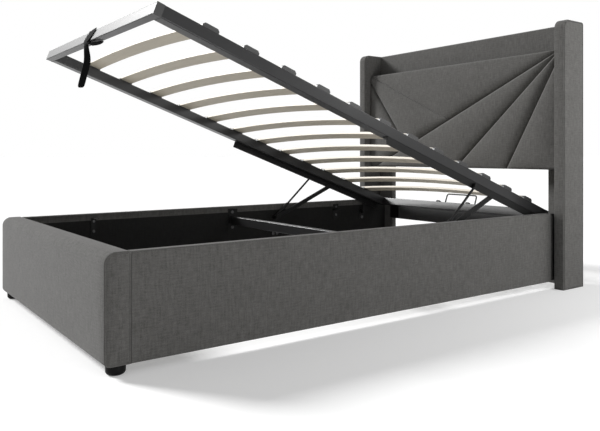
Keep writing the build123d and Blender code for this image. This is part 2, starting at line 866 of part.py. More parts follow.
def slat_cap(side, index):
    slot = bowed_strip(index, slat_width, bolt_gap)
    with BuildPart(frame_plane) as cap:
        middle = -head_slat_inset - index * slat_pitch
        outer = half_platform - cap_inset
        low = (middle - cap_length / 2, tube_height)
        high = (middle + cap_length / 2, tube_height + cap_height)
        mirrored_span(side, outer - cap_width, outer, low, high)
        top_edges = edges().filter_by(Axis.X).group_by(Axis(frame_plane.origin, frame_plane.z_dir))[-1]
        chamfer(top_edges, cap_slope)
    with BuildPart() as hollowed:
        add(cap.part)
        add(slot, mode=Mode.SUBTRACT)
    return hollowed.part


slat_caps = [slat_cap(side, index) for side in sides for index in range(slat_count)]
finish(gathered(slat_caps), "slat_caps")

# Wire hoop that stops the mattress from sliding, and two low stops beside its legs
hoop_plane = Plane(
    origin=frame_plane.from_local_coords((0, -end_tube_width / 2, tube_height)),
    x_dir=frame_plane.x_dir,
    z_dir=-frame_plane.y_dir,
)
with BuildPart() as mattress_retainer:
    with BuildLine(hoop_plane) as hoop_path:
        wire_right = wire_left + wire_span
        FilletPolyline(
            (wire_left, 0),
            (wire_left, wire_rise),
            (wire_right, wire_rise),
            (wire_right, 0),
            radius=wire_bend,
        )
    with BuildSketch(Plane(origin=hoop_path.line @ 0, z_dir=hoop_path.line % 0)):
        Circle(wire_radius)
    sweep()
    for shift in (0, stop_span):
        with BuildSketch(hoop_plane.offset(-stop_depth / 2)):
            with Locations((stop_left + shift, 0)):
                Rectangle(stop_width, stop_height, align=(Align.CENTER, Align.MIN))
                fillet(vertices().group_by(Axis.Y)[-1], stop_height * stop_round_share)
        extrude(amount=stop_depth)
finish(mattress_retainer.part, "mattress_retainer")

# Webbing strap tied round the foot tube, with a bow and a tail that hangs
strap_left = strap_middle - strap_width / 2
strap_right = strap_middle + strap_width / 2
strap_out = strap_thickness + seat_gap
with BuildPart(frame_plane) as strap_band:
    end = -platform_length
    span(
        (strap_left, end - strap_out, -strap_out),
        (strap_right, end + end_tube_width + strap_out, tube_height + strap_out),
    )
    span(
        (strap_left, end - seat_gap, -seat_gap),
        (strap_right, end + end_tube_width + seat_gap, tube_height + seat_gap),
        Mode.SUBTRACT,
    )
    knot_low = (strap_middle - knot_width / 2, end - strap_out - knot_depth, knot_rise)
    span(knot_low, (strap_middle + knot_width / 2, end - seat_gap, knot_rise + knot_height))
    bow_low = (strap_middle, end - strap_out - knot_depth * bow_depth_share, knot_rise + strap_thickness)
    span(bow_low, (strap_middle + bow_width, end - strap_out, knot_rise + knot_height - strap_thickness))
with BuildPart() as pull_strap:
    add(strap_band.part)
    tail_top = on_open_frame(platform_length + strap_out, strap_out)
    span(
        (strap_left, tail_top[0], tail_top[1] - tail_twist - strap_thickness),
        (strap_right, tail_top[0] + strap_thickness, tail_top[1] + strap_thickness),
    )
    tail_start = tail_top[0] + tail_shift - strap_width / 2
    span(
        (strap_middle - strap_thickness / 2, tail_start, tail_top[1] - tail_length),
        (strap_middle + strap_thickness / 2, tail_start + strap_width, tail_top[1] - tail_twist),
    )
finish(pull_strap.part, "pull_strap")


def bar_outline(start, end, radius):
    """A flat bar with round ends between two points of the YZ plane."""
    length = gap_between(start, end)
    middle = ((start[0] + end[0]) / 2, (start[1] + end[1]) / 2)
    with Locations(middle):
        SlotCenterToCenter(length, 2 * radius, rotation=direction(start, end))


def lift_arm(side):
    """A pressed steel arm with a raised rim along its edges."""
    with BuildPart() as arm:
        with BuildSketch(Plane.YZ.offset(side * arm_outer)):
            bar_outline(arm_pivot, frame_pivot, arm_width / 2)
        extrude(amount=-side * arm_thickness)
        with BuildSketch(Plane.YZ.offset(side * arm_inner)):
            inner_start = away(arm_pivot, arm_width, arm_tilt)
            inner_end = away(frame_pivot, -arm_width, arm_tilt)
            bar_outline(inner_start, inner_end, arm_width / 2 - arm_rim)
        extrude(amount=side * (arm_thickness - arm_web), mode=Mode.SUBTRACT)
        for centre in (arm_pivot, frame_pivot):
            bore = pin_radius + pin_gap
            crosswise(side * arm_inner, side * arm_outer, centre, bore, Mode.SUBTRACT)
    return arm.part


for side in sides:
    finish(lift_arm(side), f"{side_names[side]}_lift_arm")

with BuildPart() as rear_links:
    for side in sides:
        with BuildSketch(Plane.YZ.offset(side * link_inner)):
            bar_outline(link_pivot, link_top, link_width / 2)
        extrude(amount=side * link_thickness)
        bore = pin_radius + pin_gap
        crosswise(side * link_inner, side * link_outer, link_pivot, bore, Mode.SUBTRACT)
        crosswise(side * (half_platform + seat_gap), side * link_inner, link_top, pin_radius)
finish(rear_links.part, "rear_links")

# Gas struts, each in a plane that looks along it from its lower eye
bore_start = cylinder_start + cylinder_end_wall + pin_radius
rod_start = bore_start + strut_stroke + rod_end_gap


def strut_plane(side):
    """Origin at the lower eye, Z along the strut."""
    along = (0, cos(radians(strut_tilt)), sin(radians(strut_tilt)))
    return Plane(origin=(side * strut_line, arm_pivot[0], arm_pivot[1]), x_dir=(1, 0, 0), z_dir=along)


def strut_cylinder(side):
    with BuildPart() as eye:
        crosswise(side * strut_inner, side * strut_outer, arm_pivot, strut_eye_radius)
        with BuildSketch(strut_plane(side).offset(cylinder_start)):
            Circle(cylinder_radius)
        extrude(amount=cylinder_length - cylinder_start)
        top_edge = edges().filter_by(GeomType.CIRCLE).group_by(Axis.Z)[-1]
        fillet(top_edge, cylinder_radius * cylinder_round_share)
        with BuildSketch(strut_plane(side).offset(bore_start)):
            Circle(rod_radius + pin_gap)
        extrude(amount=cylinder_length, mode=Mode.SUBTRACT)
        bore = pin_radius + pin_gap
        crosswise(side * strut_inner, side * strut_outer, arm_pivot, bore, Mode.SUBTRACT)
    return eye.part


def strut_rod(side):
    with BuildPart() as rod:
        with BuildSketch(strut_plane(side).offset(rod_start)):
            Circle(rod_radius)
        extrude(amount=strut_length - rod_start)
        crosswise(side * strut_inner, side * strut_outer, strut_top, strut_eye_radius)
        crosswise(side * (half_platform + seat_gap), side * strut_inner, strut_top, pin_radius)
    return rod.part


for side in sides:
    finish(strut_cylinder(side), f"{side_names[side]}_strut_cylinder")
    finish(strut_rod(side), f"{side_names[side]}_strut_rod")
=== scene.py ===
# %% [markdown]
# # An ottoman storage bed with its platform raised
# This lesson dresses the finished frame of an upholstered bed. Its slatted platform lifts on arms
# and gas struts over a storage box. The frame arrives as separate solid pieces, in metres, with
# Z up and Y running towards the headboard. Hard pieces keep their shape and get a material.
# Soft pieces are modelled anew: covers, wings, the sewn headboard pad, the lining and the strap.

# %% Load the frame
import json
import math

import bpy
import numpy as np
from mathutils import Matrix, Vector


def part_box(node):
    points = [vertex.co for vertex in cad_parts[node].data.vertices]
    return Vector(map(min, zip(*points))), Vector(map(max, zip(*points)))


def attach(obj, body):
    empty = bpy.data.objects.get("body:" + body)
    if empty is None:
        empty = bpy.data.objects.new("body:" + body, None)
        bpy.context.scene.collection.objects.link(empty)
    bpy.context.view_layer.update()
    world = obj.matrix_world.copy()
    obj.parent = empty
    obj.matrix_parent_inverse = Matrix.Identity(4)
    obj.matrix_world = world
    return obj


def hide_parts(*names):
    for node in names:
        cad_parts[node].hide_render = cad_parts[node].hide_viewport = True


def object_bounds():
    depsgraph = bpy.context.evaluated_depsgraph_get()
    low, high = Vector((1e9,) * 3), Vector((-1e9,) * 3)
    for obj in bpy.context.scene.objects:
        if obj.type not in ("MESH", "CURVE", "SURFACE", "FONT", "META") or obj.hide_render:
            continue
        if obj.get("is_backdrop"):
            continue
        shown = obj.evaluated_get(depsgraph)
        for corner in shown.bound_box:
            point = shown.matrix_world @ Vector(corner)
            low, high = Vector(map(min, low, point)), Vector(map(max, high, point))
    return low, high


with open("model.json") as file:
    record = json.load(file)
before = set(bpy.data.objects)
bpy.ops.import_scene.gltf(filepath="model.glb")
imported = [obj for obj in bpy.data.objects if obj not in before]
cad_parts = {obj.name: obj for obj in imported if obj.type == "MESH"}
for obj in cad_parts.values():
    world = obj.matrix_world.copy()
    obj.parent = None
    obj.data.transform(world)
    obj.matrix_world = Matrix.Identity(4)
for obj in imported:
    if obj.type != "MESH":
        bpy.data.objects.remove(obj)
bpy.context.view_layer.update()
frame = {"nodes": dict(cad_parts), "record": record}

# %% [markdown]
# ## Helpers for modelling by hand
# Every operator works on what is selected, and the loaded frame comes in selected. So each helper
# first deselects everything. Faces and edges are then picked by where they are, as the mouse would
# do in an open window. Numbers of faces could be written down instead, but they change with every
# cut.

# %% Select and shape


def only(piece):
    """Makes this piece the one that is selected and active."""
    bpy.ops.object.select_all(action="DESELECT")
    piece.select_set(True)
    bpy.context.view_layer.objects.active = piece


def slab(name, low, high):
    """A box between two opposite corners, with its place in its mesh."""
    bpy.ops.object.select_all(action="DESELECT")
    middle = [(a + b) / 2 for a, b in zip(low, high)]
    size = [b - a for a, b in zip(low, high)]
    bpy.ops.mesh.primitive_cube_add(size=1, location=middle, scale=size)
    piece = bpy.context.active_object
    piece.name = name
    bpy.ops.object.transform_apply(location=True, rotation=True, scale=True)
    return piece


def pick(piece, kind, test):
    """Enters edit mode with only the faces or edges that pass a test selected."""
    only(piece)
    bpy.ops.object.mode_set(mode="EDIT")
    bpy.ops.mesh.select_mode(type=kind)
    bpy.ops.mesh.select_all(action="DESELECT")
    bpy.ops.object.mode_set(mode="OBJECT")
    mesh = piece.data
    if kind == "FACE":
        for face in mesh.polygons:
            face.select = test(face.center, face.normal)
    else:
        for edge in mesh.edges:
            start, end = (mesh.vertices[index].co for index in edge.vertices)
            edge.select = test(start, end)
    bpy.ops.object.mode_set(mode="EDIT")


def leave():
    """Goes back to object mode, which keeps the edits."""
    bpy.ops.object.mode_set(mode="OBJECT")


def round_edges(piece, radius, steps, test):
    """Bevels the edges that pass a test."""
    pick(piece, "EDGE", test)
    bpy.ops.mesh.bevel(offset=radius, segments=steps, affect="EDGES", clamp_overlap=True)
    leave()


def cut(piece, point, normal):
    """Adds a cut through the whole piece where a plane crosses it."""
    only(piece)
    bpy.ops.object.mode_set(mode="EDIT")
    bpy.ops.mesh.select_all(action="SELECT")
    bpy.ops.mesh.bisect(plane_co=point, plane_no=normal)
    leave()


def smooth(piece, angle=40):
    """Shades the faces as one surface, except over edges sharper than an angle."""
    only(piece)
    bpy.ops.object.shade_smooth_by_angle(angle=math.radians(angle))


def unwrap(piece):
    """Lays the surface out box by box, so that one unit of the map is one metre."""
    only(piece)
    bpy.ops.object.mode_set(mode="EDIT")
    bpy.ops.mesh.select_all(action="SELECT")
    bpy.ops.uv.cube_project(cube_size=1, scale_to_bounds=False)
    leave()


def near(value, target, reach=0.0004):
    """Whether two measures are the same, to less than half a millimetre."""
    return abs(value - target) < reach


# %% [markdown]
# ## The camera
# The bed stands level in the picture and its upright edges stay parallel. A camera that looks down
# would make them lean together, so this one looks level and its picture is shifted instead. It
# stands off the near side, close to the foot end, with its eye a little above the box.

# %% Camera
picture_width, picture_height = 600, 431
focal_pixels = 666.07
horizon_pixel, centre_pixel = 154.85, 340
camera_place = (2.3826, -1.6331, 0.5885)
level, turn = math.radians(90), math.radians(52.227)
camera_data = bpy.data.cameras.new("camera")
camera_data.sensor_width = 36
camera_data.lens = camera_data.sensor_width * focal_pixels / picture_width
camera_data.shift_x = (picture_width / 2 - centre_pixel) / picture_width
camera_data.shift_y = (horizon_pixel - picture_height / 2) / picture_width
camera = bpy.data.objects.new("camera", camera_data)
bpy.context.collection.objects.link(camera)
camera.location = camera_place
camera.rotation_euler = (level, 0, turn)
bpy.context.scene.camera = camera
print("lens", round(camera_data.lens, 2))

# %% [markdown]
# ## The floor
# The floor is a wide pale plane that holds the soft shadow. In light that suits the bed it would
# look grey, and more light would bleach the cloth. So it also glows a little, but only where it is
# looked at, and its glow lights nothing.

# %% Floor
floor_width = 400
floor_glow = 0.26
bpy.ops.object.select_all(action="DESELECT")
bpy.ops.mesh.primitive_plane_add(size=floor_width)
floor = bpy.context.active_object
floor.name = "floor"
floor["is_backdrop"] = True


def new_material(name):
    """A material with nothing in it yet, and its tree of nodes."""
    material = bpy.data.materials.new(name)
    material.use_nodes = True
    material.node_tree.nodes.clear()
    return material, material.node_tree


def math_node(tree, operation, first, second):
    """A calculation on two values, each a socket or a number."""
    node = tree.nodes.new("ShaderNodeMath")
    node.operation = operation
    for socket, value in zip(node.inputs, (first, second)):
        if isinstance(value, (int, float)):
            socket.default_value = value
        else:
            tree.links.new(value, socket)
    return node.outputs[0]


def seen_directly(tree):
    """One where the eye, a mirror or glass looks at a surface, and zero for its light on others."""
    path = tree.nodes.new("ShaderNodeLightPath")
    seen = math_node(tree, "MAXIMUM", path.outputs["Is Camera Ray"], path.outputs["Is Glossy Ray"])
    return math_node(tree, "MAXIMUM", seen, path.outputs["Is Transmission Ray"])


floor_material, tree = new_material("studio_floor")
paper = tree.nodes.new("ShaderNodeBsdfDiffuse")
paper.inputs["Color"].default_value = (0.8, 0.8, 0.8, 1)
glow = tree.nodes.new("ShaderNodeEmission")
glow.inputs["Color"].default_value = (1, 1, 1, 1)
glow_when_seen = math_node(tree, "MULTIPLY", seen_directly(tree), floor_glow)
tree.links.new(glow_when_seen, glow.inputs["Strength"])
together = tree.nodes.new("ShaderNodeAddShader")
tree.links.new(paper.outputs[0], together.inputs[0])
tree.links.new(glow.outputs[0], together.inputs[1])
output = tree.nodes.new("ShaderNodeOutputMaterial")
tree.links.new(together.outputs[0], output.inputs["Surface"])
floor.data.materials.append(floor_material)
print("floor", floor_width, "metres wide")

# %% [markdown]
# ## The background
# A studio's wall looks white and still lights the piece only softly. One strength can't do both, so
# the world has two backgrounds: a white one that is seen, and a dim one that lights the bed.

# %% Background
room_strength = 0.27
world = bpy.data.worlds.new("studio")
bpy.context.scene.world = world
world.use_nodes = True
tree = world.node_tree
tree.nodes.clear()


def white_background(strength):
    """A white background of this strength, ready to be linked."""
    node = tree.nodes.new("ShaderNodeBackground")
    node.inputs["Color"].default_value = (1, 1, 1, 1)
    node.inputs["Strength"].default_value = strength
    return node.outputs[0]


choose = tree.nodes.new("ShaderNodeMixShader")
tree.links.new(seen_directly(tree), choose.inputs[0])
tree.links.new(white_background(room_strength), choose.inputs[1])
tree.links.new(white_background(1), choose.inputs[2])
output = tree.nodes.new("ShaderNodeOutputWorld")
tree.links.new(choose.outputs[0], output.inputs["Surface"])
print("room light", room_strength)

# %% [markdown]
# ## The lights
# The box throws a clear shadow to the near side, and the front of the footboard is lit. So the main
# light is a sun from the far side and a little from the foot end, a third of the way up. A lamp
# could do it too, but its shadow would spread with distance. A wide disc keeps the sun's shadow
# soft. Two square lamps lift the near side: a low one along the rail, and one by the headboard,
# where the floor and the wing's side are lighter.

# %% Lights
sun_place = (-3.845, -1.975, 2.52)
sun_strength, sun_disc = 4.4, math.radians(15)


def hang_light(name, data, place, aim):
    """Puts a light at a place and turns it to face a point."""
    holder = bpy.data.objects.new(name, data)
    bpy.context.collection.objects.link(holder)
    holder.location = place
    holder.rotation_euler = (Vector(aim) - Vector(place)).to_track_quat("-Z", "Y").to_euler()


def lamp(name, place, aim, size, power):
    """A square area lamp that faces a point."""
    data = bpy.data.lights.new(name, "AREA")
    data.shape = "SQUARE"
    data.size = size
    data.energy = power
    hang_light(name, data, place, aim)


sun = bpy.data.lights.new("low_sun", "SUN")
sun.energy = sun_strength
sun.angle = sun_disc
hang_light("low_sun", sun, sun_place, aim=(0, 0, 0))
lamp("rail_lamp", place=(4.2, 0.2, 0.28), aim=(0.7, -0.1, 0.2), size=0.55, power=56)
lamp("wing_lamp", place=(1.9, 1.4, 1.3), aim=(0.8, 0.75, 0.3), size=0.8, power=16)
bpy.context.scene.view_settings.view_transform = "Standard"
print("lights", [light.name for light in bpy.data.lights])

# %% [markdown]
# ## Shared effects
# Four finishes use the weave and five the speckle, so each is built once, as a node group with named
# inputs. The grain and the dust are built the same way. A picture of cloth or wood would repeat and
# turn soft close up, so noise draws the patterns.

# %% Node helpers


def group(name, inputs, outputs):
    """An empty node group with its named sockets, and its input and output nodes."""
    tree = bpy.data.node_groups.new(name, "ShaderNodeTree")
    for title, kind, value in inputs:
        socket = tree.interface.new_socket(title, in_out="INPUT", socket_type=kind)
        if value is not None:
            socket.default_value = value
    for title, kind in outputs:
        tree.interface.new_socket(title, in_out="OUTPUT", socket_type=kind)
    start = tree.nodes.new("NodeGroupInput")
    end = tree.nodes.new("NodeGroupOutput")
    return tree, start, end


def stretched_noise(tree, vector, along, across, detail):
    """Noise with so many waves to a metre along and across the pattern."""
    mapping = tree.nodes.new("ShaderNodeMapping")
    mapping.inputs["Scale"].default_value = (along, across, along)
    tree.links.new(vector, mapping.inputs["Vector"])
    noise = tree.nodes.new("ShaderNodeTexNoise")
    noise.inputs["Scale"].default_value = 1
    noise.inputs["Detail"].default_value = detail
    tree.links.new(mapping.outputs[0], noise.inputs["Vector"])
    return noise.outputs["Fac"]


def threads(tree, vector, direction, pitch):
    """A soft wave across the threads that run one way. At scale 1 it repeats every pi / 10."""
    wave = tree.nodes.new("ShaderNodeTexWave")
    wave.wave_type = "BANDS"
    wave.bands_direction = direction
    wave.inputs["Scale"].default_value = math.pi / 10 / pitch
    wave.inputs["Distortion"].default_value = 0.8
    wave.inputs["Detail"].default_value = 1
    tree.links.new(vector, wave.inputs["Vector"])
    return wave.outputs["Fac"]


# %% [markdown]
# ## The weave
# The cloth is a plain weave of uneven yarn. Short slubs run both ways as light and dark streaks,
# with fine grit and slow clouds between them.

# %% Weave
weave, start, end = group(
    "linen_weave",
    [("Vector", "NodeSocketVector", None), ("Slub", "NodeSocketFloat", 1.0)],
    [("Shade", "NodeSocketFloat"), ("Height", "NodeSocketFloat")],
)
spot, slub = start.outputs["Vector"], start.outputs["Slub"]
thread_pitch = 0.0016
noise_middle = 0.5
warp_share, weft_share, cloud_share, check_share = 1.1, 0.9, 0.3, 0.6
streaks_middle = (warp_share + weft_share) * noise_middle
warp = stretched_noise(weave, spot, along=170, across=26, detail=3)
weft = stretched_noise(weave, spot, along=40, across=210, detail=2)
grit = stretched_noise(weave, spot, along=340, across=340, detail=1)
cloud = stretched_noise(weave, spot, along=9, across=9, detail=4)
warp_streaks = math_node(weave, "MULTIPLY", warp, warp_share)
weft_streaks = math_node(weave, "MULTIPLY", weft, weft_share)
streaks = math_node(weave, "ADD", warp_streaks, weft_streaks)
slubs = math_node(weave, "MULTIPLY", math_node(weave, "SUBTRACT", streaks, streaks_middle), slub)
grits = math_node(weave, "MULTIPLY", math_node(weave, "SUBTRACT", grit, noise_middle), slub)
clouds = math_node(weave, "MULTIPLY", math_node(weave, "SUBTRACT", cloud, noise_middle), cloud_share)
yarn = math_node(weave, "ADD", slubs, grits)
shade = math_node(weave, "ADD", yarn, math_node(weave, "ADD", clouds, noise_middle))
weave.links.new(shade, end.inputs["Shade"])
one_way, other_way = [threads(weave, spot, direction, thread_pitch) for direction in ("X", "Y")]
check = math_node(weave, "MULTIPLY", one_way, other_way)
height = math_node(weave, "ADD", math_node(weave, "MULTIPLY", check, check_share), streaks)
weave.links.new(height, end.inputs["Height"])
print("weave nodes", len(weave.nodes))

# %% [markdown]
# ## Speckle, grain and dust
# The speckle is the orange peel of powder coat and moulded plastic. The grain is drawn out along a
# slat, broad and fine. The dust is a grey that settles on faces that look up.

# %% Speckle
speckle, start, end = group(
    "fine_speckle",
    [("Vector", "NodeSocketVector", None), ("Size", "NodeSocketFloat", 500.0)],
    [("Shade", "NodeSocketFloat"), ("Height", "NodeSocketFloat")],
)
spot = start.outputs["Vector"]
peel = speckle.nodes.new("ShaderNodeTexNoise")
peel.inputs["Detail"].default_value = 2
speckle.links.new(spot, peel.inputs["Vector"])
speckle.links.new(start.outputs["Size"], peel.inputs["Scale"])
patches = stretched_noise(speckle, spot, along=9, across=9, detail=3)
speckle.links.new(patches, end.inputs["Shade"])
speckle.links.new(peel.outputs["Fac"], end.inputs["Height"])

# %% Grain
grain, start, end = group(
    "ply_grain",
    [("Vector", "NodeSocketVector", None)],
    [("Shade", "NodeSocketFloat"), ("Height", "NodeSocketFloat")],
)
spot = start.outputs["Vector"]
broad_share, fine_share = 0.6, 0.4
broad = stretched_noise(grain, spot, along=1.6, across=45, detail=4)
fine = stretched_noise(grain, spot, along=7, across=420, detail=3)
broad_grain = math_node(grain, "MULTIPLY", broad, broad_share)
fine_grain = math_node(grain, "MULTIPLY", fine, fine_share)
grain.links.new(math_node(grain, "ADD", broad_grain, fine_grain), end.inputs["Shade"])
grain.links.new(fine, end.inputs["Height"])

# %% Dust
dust_colour = (0.42, 0.41, 0.39, 1)
dust, start, end = group(
    "settled_dust",
    [("Color", "NodeSocketColor", None), ("Amount", "NodeSocketFloat", 0.1)],
    [("Color", "NodeSocketColor")],
)
geometry = dust.nodes.new("ShaderNodeNewGeometry")
facing = dust.nodes.new("ShaderNodeSeparateXYZ")
dust.links.new(geometry.outputs["Normal"], facing.inputs[0])
facing_up = math_node(dust, "MAXIMUM", facing.outputs["Z"], 0.0)
settled = math_node(dust, "MULTIPLY", facing_up, start.outputs["Amount"])
dusty = dust.nodes.new("ShaderNodeMix")
dusty.data_type = "RGBA"
dust.links.new(settled, dusty.inputs["Factor"])
dust.links.new(start.outputs["Color"], dusty.inputs["A"])
dusty.inputs["B"].default_value = dust_colour
dust.links.new(dusty.outputs["Result"], end.inputs["Color"])
print("groups", [tree.name for tree in bpy.data.node_groups])

# %% [markdown]
# ## Finishes
# A flat colour looks like plastic foil. So each finish mixes two close tones by its pattern and lets
# the same pattern lift the surface a little. Cloth reads the map that follows the surface, so that
# its threads bend with it. Steel, plastic and wood read the place. What is the same all over, such
# as the roughness, is set on the shader itself.

# %% One finish


def finish(
    name,
    effect,
    dark,
    light,
    roughness,
    bump,
    depth,
    on_map=False,
    settle=0.0,
    specular=0.5,
    metallic=0.0,
    sheen=0.0,
):
    """A surface whose colour runs between two tones and whose relief follows one effect."""
    material, tree = new_material(name)
    shader = tree.nodes.new("ShaderNodeBsdfPrincipled")
    shader.inputs["Roughness"].default_value = roughness
    shader.inputs["Specular IOR Level"].default_value = specular
    shader.inputs["Metallic"].default_value = metallic
    shader.inputs["Sheen Weight"].default_value = sheen
    output = tree.nodes.new("ShaderNodeOutputMaterial")
    tree.links.new(shader.outputs[0], output.inputs["Surface"])
    place = tree.nodes.new("ShaderNodeTexCoord")
    pattern = tree.nodes.new("ShaderNodeGroup")
    pattern.node_tree = effect
    tree.links.new(place.outputs["UV" if on_map else "Object"], pattern.inputs["Vector"])
    tone = tree.nodes.new("ShaderNodeMix")
    tone.data_type = "RGBA"
    tree.links.new(pattern.outputs["Shade"], tone.inputs["Factor"])
    tone.inputs["A"].default_value = (*dark, 1)
    tone.inputs["B"].default_value = (*light, 1)
    colour = tone.outputs["Result"]
    if settle:
        layer = tree.nodes.new("ShaderNodeGroup")
        layer.node_tree = dust
        layer.inputs["Amount"].default_value = settle
        tree.links.new(colour, layer.inputs["Color"])
        colour = layer.outputs["Color"]
    tree.links.new(colour, shader.inputs["Base Color"])
    relief = tree.nodes.new("ShaderNodeBump")
    relief.inputs["Strength"].default_value = bump
    relief.inputs["Distance"].default_value = depth
    tree.links.new(pattern.outputs["Height"], relief.inputs["Height"])
    tree.links.new(relief.outputs[0], shader.inputs["Normal"])
    return material


# %% [markdown]
# ## Cloth
# The covers are a mid grey cloth with the look of linen, the lining is thin black cloth, and the
# strap is black webbing. A little sheen gives the linen its soft rim. A low specular level keeps
# all three from shining, which roughness alone doesn't do.

# %% Cloth finishes
slot_finish = {}
slot_finish["cover_fabric"] = finish(
    "grey_linen",
    weave,
    dark=(0.054, 0.0525, 0.0495),
    light=(0.116, 0.1135, 0.109),
    roughness=0.92,
    bump=0.3,
    depth=0.0005,
    on_map=True,
    specular=0.2,
    sheen=0.12,
)
slot_finish["lining_fabric"] = finish(
    "black_lining",
    weave,
    dark=(0.011, 0.011, 0.011),
    light=(0.02, 0.02, 0.0195),
    roughness=0.95,
    bump=0.2,
    depth=0.0004,
    on_map=True,
    specular=0.15,
)
slot_finish["webbing"] = finish(
    "black_webbing",
    weave,
    dark=(0.001, 0.001, 0.001),
    light=(0.004, 0.004, 0.004),
    roughness=0.9,
    bump=0.5,
    depth=0.0008,
    on_map=True,
    specular=0.1,
)

# %% [markdown]
# ## Paint, plastic and steel
# The platform's tubes have a smooth near-black paint, and the arms, struts and plates a duller
# powder coat. The feet are matt black plastic and the slat caps dark plastic. The bolts are dim
# steel, the only real metal. Paint isn't metal to light, so only they get a metallic value.

# %% Hard finishes
slot_finish["frame_steel"] = finish(
    "near_black_gloss",
    speckle,
    dark=(0.011, 0.011, 0.0115),
    light=(0.018, 0.018, 0.0185),
    roughness=0.3,
    bump=0.06,
    depth=0.0001,
    settle=0.01,
    specular=0.3,
)
slot_finish["mechanism_steel"] = finish(
    "black_powder_coat",
    speckle,
    dark=(0.004, 0.004, 0.004),
    light=(0.009, 0.009, 0.009),
    roughness=0.42,
    bump=0.15,
    depth=0.0002,
    specular=0.14,
)
slot_finish["foot_plastic"] = finish(
    "foot_plastic",
    speckle,
    dark=(0.001, 0.001, 0.001),
    light=(0.003, 0.003, 0.003),
    roughness=0.45,
    bump=0.1,
    depth=0.0002,
    specular=0.1,
)
slot_finish["cap_plastic"] = finish(
    "cap_plastic",
    speckle,
    dark=(0.012, 0.012, 0.012),
    light=(0.02, 0.02, 0.02),
    roughness=0.42,
    bump=0.08,
    depth=0.0002,
)
slot_finish["fastener_steel"] = finish(
    "dim_steel",
    speckle,
    dark=(0.05, 0.05, 0.052),
    light=(0.1, 0.1, 0.1),
    roughness=0.38,
    bump=0.1,
    depth=0.0001,
    metallic=0.9,
)

# %% [markdown]
# ## Wood
# The slats are birch plywood, pale with a fine grain along their length. The boards inside the
# covers can't be seen. They get a dark, dull surface as painted shade, in case a gap shows them.

# %% Wood finishes
slot_finish["slat_wood"] = finish(
    "birch_ply",
    grain,
    dark=(0.44, 0.385, 0.3),
    light=(0.64, 0.585, 0.48),
    roughness=0.5,
    bump=0.12,
    depth=0.0003,
)
# The boards' near-black tone is painted shade for gaps, not the colour of their wood.
slot_finish["board"] = finish(
    "dark_board",
    weave,
    dark=(0.02, 0.02, 0.02),
    light=(0.035, 0.035, 0.035),
    roughness=0.9,
    bump=0.2,
    depth=0.0004,
)
print("finishes", sorted(slot_finish))

# %% [markdown]
# ## Hard pieces
# The tubes, slats, plates, arms, struts and bolts already have their right shape. They could be
# modelled again, but that would only bring in errors. So each keeps its mesh and gets its finish in
# place of the plain one that it came with.

# %% Dress the hard pieces
slots = {entry["node"]: entry["material_slot"] for entry in frame["record"]["subparts"]}
for node, piece in frame["nodes"].items():
    for holder in piece.material_slots:
        holder.material = slot_finish[slots[node]]
print("dressed", len(frame["nodes"]))


def place_on(piece, body, slot, *nodes):
    """Gives a modelled piece its finish and its body, and hides the solids that it stands for."""
    piece.data.materials.clear()
    piece.data.materials.append(slot_finish[slot])
    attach(piece, body)
    if nodes:
        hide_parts(*nodes)


# %% [markdown]
# ## Seams and swelling
# Two things make a padded board look upholstered. A sewn seam is a narrow furrow where the end
# piece meets the long strip that wraps the edges, and a wide face stands a little proud in its
# middle. A dark line in the finish would do for a seam from afar, but it catches no light. So the
# furrow is real: two small insets, with the ring between them pressed in. The swelling comes last,
# on a net of cuts, because a flat face has no points to move.

# %% Seam and swell
seam_margin = 0.0008
face_depth = 0.0035


def sew_round(piece, outward, side_test, width, depth):
    """Presses a furrow into one end face, a small margin inside its rim."""
    pick(piece, "FACE", side_test)
    for inset, shift in ((seam_margin, 0), (width, -depth), (width, depth)):
        bpy.ops.mesh.inset(thickness=inset, depth=0)
        if shift:
            move = tuple(component * shift for component in outward)
            bpy.ops.transform.translate(value=move)
    leave()


def fine_net(piece, size, axes):
    """Cuts a piece across the given axes into strips about as wide as a size."""
    points = np.array([point.co for point in piece.data.vertices])
    low, high = points.min(axis=0), points.max(axis=0)
    for axis in axes:
        count = max(int((high[axis] - low[axis]) / size), 1)
        for step in range(1, count):
            point, normal = [0, 0, 0], [0, 0, 0]
            point[axis] = low[axis] + (high[axis] - low[axis]) * step / count
            normal[axis] = 1
            cut(piece, point, normal)


def swell(piece, axis, outer, amount, reach=0.09):
    """Moves the points of one face outwards, most in its middle and not at all at its rim."""
    mesh = piece.data
    points = np.array([point.co for point in mesh.vertices])
    low, high = points.min(axis=0), points.max(axis=0)
    rise = np.ones(len(points))
    for index in (other for other in range(3) if other != axis):
        from_rim = np.minimum(points[:, index] - low[index], high[index] - points[:, index])
        rise *= np.sin(np.clip(from_rim / reach, 0, 1) * math.pi / 2)
    moving = np.abs(points[:, axis] - outer) < face_depth
    points[moving, axis] += amount * rise[moving]
    mesh.vertices.foreach_set("co", points.ravel())
    mesh.update()


# %% [markdown]
# ## The footboard's cover
# Foam and linen wrap a board. The front rolls over into the top with a wide soft radius, the
# bottom edge is rounder at the front, and each end is a separate piece of cloth with a seam round
# it. One radius for all edges would look like a cushion. So a box is rounded edge by edge, its
# ends get their seams, and its front swells a little.

# %% Footboard
footboard_front_radius, footboard_back_radius = 0.032, 0.009
footboard_bottom_radius, footboard_end_radius = 0.018, 0.0036
footboard_seam, footboard_swell = 0.0012, 0.0025
net_size = 0.045


def long_edge(y, z):
    """A test for the edge that runs across the bed at this depth and height."""
    return lambda a, b: not near(a.x, b.x) and near(a.y, y) and near(a.z, z)


def rim(x):
    """A test for the edges round the face that looks sideways at this place."""
    return lambda a, b: near(a.x, x) and near(b.x, x)


def end_face(x):
    """A test for the face that looks sideways at this place."""
    return lambda centre, normal: abs(normal.x) > 0.99 and near(centre.x, x)


